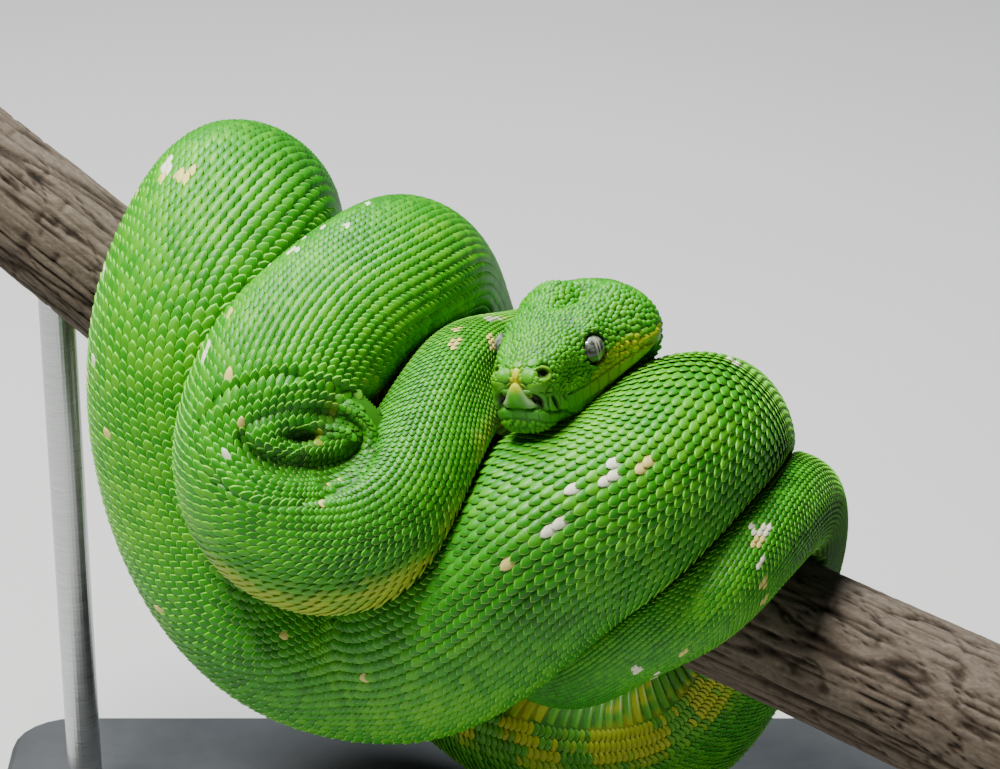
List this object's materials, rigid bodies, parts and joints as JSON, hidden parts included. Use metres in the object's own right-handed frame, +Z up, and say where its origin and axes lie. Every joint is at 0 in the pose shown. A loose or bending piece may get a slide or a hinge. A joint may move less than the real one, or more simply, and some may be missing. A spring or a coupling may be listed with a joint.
{
  "type": "coiled green tree python on a perch",
  "caption": "Green tree python resting in draped coils over a short cut branch, its head laid on top, held by a flat base and upright rods. Still life-size model.",
  "frame": {"origin": "middle of the stand base's underside, which is also the bottom centre of the bounding box", "axes": "+X along the perch towards its lower end, +Y away from the front, +Z up; the snake's head faces -Y"},
  "size_m": [0.2721, 0.1535, 0.1865],
  "materials": {
    "scaled_skin": "satin green scales with yellow and white flecks",
    "eye": "glossy silver iris with an upright slit pupil",
    "bark": "weathered furrowed bark, sawn ends",
    "stand_paint": "satin black paint",
    "stand_steel": "brushed"
  },
  "bodies": {
    "root": {"head": "scaled_skin", "lower_jaw": "scaled_skin", "neck_01": "scaled_skin", "neck_02": "scaled_skin", "neck_03": "scaled_skin", "trunk_01": "scaled_skin", "trunk_02": "scaled_skin", "trunk_03": "scaled_skin", "trunk_04": "scaled_skin", "trunk_05": "scaled_skin", "trunk_06": "scaled_skin", "trunk_07": "scaled_skin", "trunk_08": "scaled_skin", "trunk_09": "scaled_skin", "trunk_10": "scaled_skin", "trunk_11": "scaled_skin", "trunk_12": "scaled_skin", "trunk_13": "scaled_skin", "trunk_14": "scaled_skin", "trunk_15": "scaled_skin", "trunk_16": "scaled_skin", "tail_01": "scaled_skin", "tail_02": "scaled_skin", "tail_03": "scaled_skin", "eye_left": "eye", "eye_right": "eye", "perch_branch": "bark", "stand_base": "stand_paint", "stand_rod_left": "stand_steel", "stand_rod_right": "stand_steel"}
  },
  "joints": []
}
